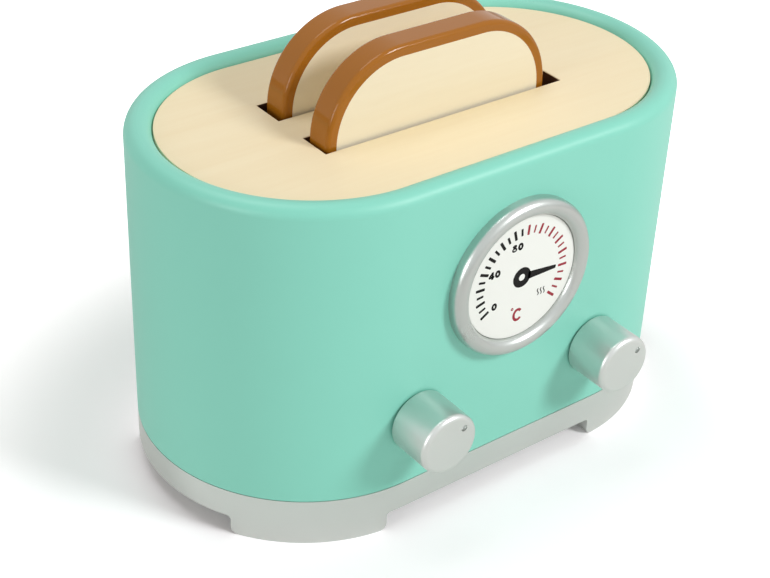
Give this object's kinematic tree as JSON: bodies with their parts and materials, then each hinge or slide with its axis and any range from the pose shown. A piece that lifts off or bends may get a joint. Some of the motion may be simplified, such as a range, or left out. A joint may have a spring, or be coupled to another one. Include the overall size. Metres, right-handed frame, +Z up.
{
  "type": "toy toaster",
  "caption": "Wooden play toaster with rounded ends, a printed gauge, turning knobs and slices of toast that a side lever lowers and springs push back up.",
  "frame": {"origin": "centre of the body on the floor", "axes": "+X along the length, towards the lever; -Y towards the dial and the knobs; +Z up"},
  "size_m": [0.2154, 0.1337, 0.1531],
  "materials": {
    "mint_paint": "satin mint paint on wood",
    "silver_paint": "silver paint on turned or milled wood",
    "birch_plywood": "clear-coated pale plywood",
    "beech": "plain sanded beech",
    "toast_paint": "brown painted crust round a bare, cream face",
    "dial_print": "white painted disc with a printed scale",
    "bush_plastic": "moulded white plastic",
    "ring_rubber": "black rubber",
    "zinc_steel": "zinc-plated steel",
    "rod_steel": "ground steel rod"
  },
  "bodies": {
    "housing": {"body_shell": "mint_paint", "base": "silver_paint", "top_panel": "birch_plywood", "base_screws": "zinc_steel", "gauge_bezel": "silver_paint", "gauge_dial": "dial_print", "guide_rod_left": "rod_steel", "guide_rod_right": "rod_steel", "stop_ring_left": "ring_rubber", "stop_ring_right": "ring_rubber", "spring_left": "zinc_steel", "spring_right": "zinc_steel"},
    "carriage": {"tray": "birch_plywood", "rail_front": "birch_plywood", "rail_middle": "birch_plywood", "rail_rear": "birch_plywood", "guide_bush_left": "bush_plastic", "guide_bush_right": "bush_plastic", "lever_arm": "beech", "lever_knob": "silver_paint", "lever_screws": "zinc_steel"},
    "slice_front": {"slice_front": "toast_paint"},
    "slice_rear": {"slice_rear": "toast_paint"},
    "knob_left": {"knob_left": "silver_paint", "knob_left_shaft": "beech", "knob_left_collar": "beech"},
    "knob_right": {"knob_right": "silver_paint", "knob_right_shaft": "beech", "knob_right_collar": "beech"}
  },
  "joints": [
    {"name": "lift", "type": "slide", "parent": "housing", "child": "carriage", "axis": [0, 0, -1], "range_m": [0, 0.032], "stiffness_N_per_m": 150, "springref_m": -0.017, "deforming": ["spring_left", "spring_right"]},
    {"name": "take_front_slice", "type": "slide", "parent": "carriage", "child": "slice_front", "axis": [0, 0, 1], "range_m": [0, 0.09]},
    {"name": "take_rear_slice", "type": "slide", "parent": "carriage", "child": "slice_rear", "axis": [0, 0, 1], "range_m": [0, 0.09]},
    {"name": "turn_left_knob", "type": "hinge", "parent": "housing", "child": "knob_left", "pos_m": [-0.038, -0.05825, 0.0423], "axis": [0, -1, 0], "continuous": true},
    {"name": "turn_right_knob", "type": "hinge", "parent": "housing", "child": "knob_right", "pos_m": [0.038, -0.05825, 0.0423], "axis": [0, -1, 0], "continuous": true}
  ]
}
